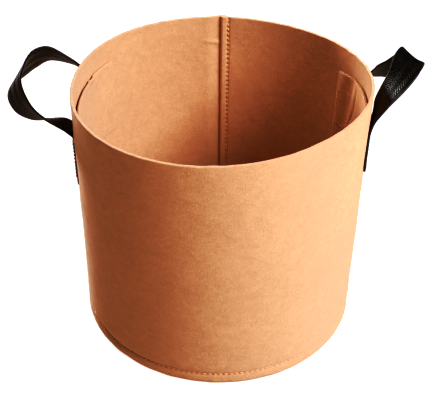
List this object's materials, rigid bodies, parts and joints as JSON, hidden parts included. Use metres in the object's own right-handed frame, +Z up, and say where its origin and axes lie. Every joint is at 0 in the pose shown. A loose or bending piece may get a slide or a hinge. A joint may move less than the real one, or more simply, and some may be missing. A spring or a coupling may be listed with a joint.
{
  "type": "fabric grow bag",
  "caption": "Round open-topped felt planter with a sewn-in base, a back seam and webbing carrying handles on both sides.",
  "frame": {"origin": "centre of the underside of the base, which the bag stands on", "axes": "+Z up, +Y to the back seam, +X to the right handle"},
  "size_m": [0.3416, 0.2578, 0.2376],
  "materials": {
    "felt": "matt needle-punched felt, tan",
    "webbing": "black woven polypropylene webbing with a slight sheen",
    "seam_thread": "tan polyester sewing thread",
    "webbing_thread": "black polyester sewing thread"
  },
  "bodies": {
    "bag": {"side_wall": "felt", "base_disc": "felt", "back_seam_thread": "seam_thread", "base_seam_thread": "seam_thread", "base_seam_inner_thread": "seam_thread", "right_inner_patch": "felt", "right_front_strap_end": "webbing", "right_front_box_stitch": "webbing_thread", "right_front_inner_box_stitch": "seam_thread", "right_rear_strap_end": "webbing", "right_rear_box_stitch": "webbing_thread", "right_rear_inner_box_stitch": "seam_thread", "left_inner_patch": "felt", "left_front_strap_end": "webbing", "left_front_box_stitch": "webbing_thread", "left_front_inner_box_stitch": "seam_thread", "left_rear_strap_end": "webbing", "left_rear_box_stitch": "webbing_thread", "left_rear_inner_box_stitch": "seam_thread"},
    "right_handle": {"right_handle_loop": "webbing"},
    "left_handle": {"left_handle_loop": "webbing"}
  },
  "joints": [
    {"name": "right_handle_swing", "type": "hinge", "parent": "bag", "child": "right_handle", "pos_m": [0.12244, 0.01584, 0.1895], "axis": [-0.09, 0.9959, 0], "range_deg": [-5, 103]},
    {"name": "left_handle_swing", "type": "hinge", "parent": "bag", "child": "left_handle", "pos_m": [-0.11687, 0.01981, 0.1845], "axis": [-0.1423, -0.9898, 0], "range_deg": [-6, 96]}
  ]
}
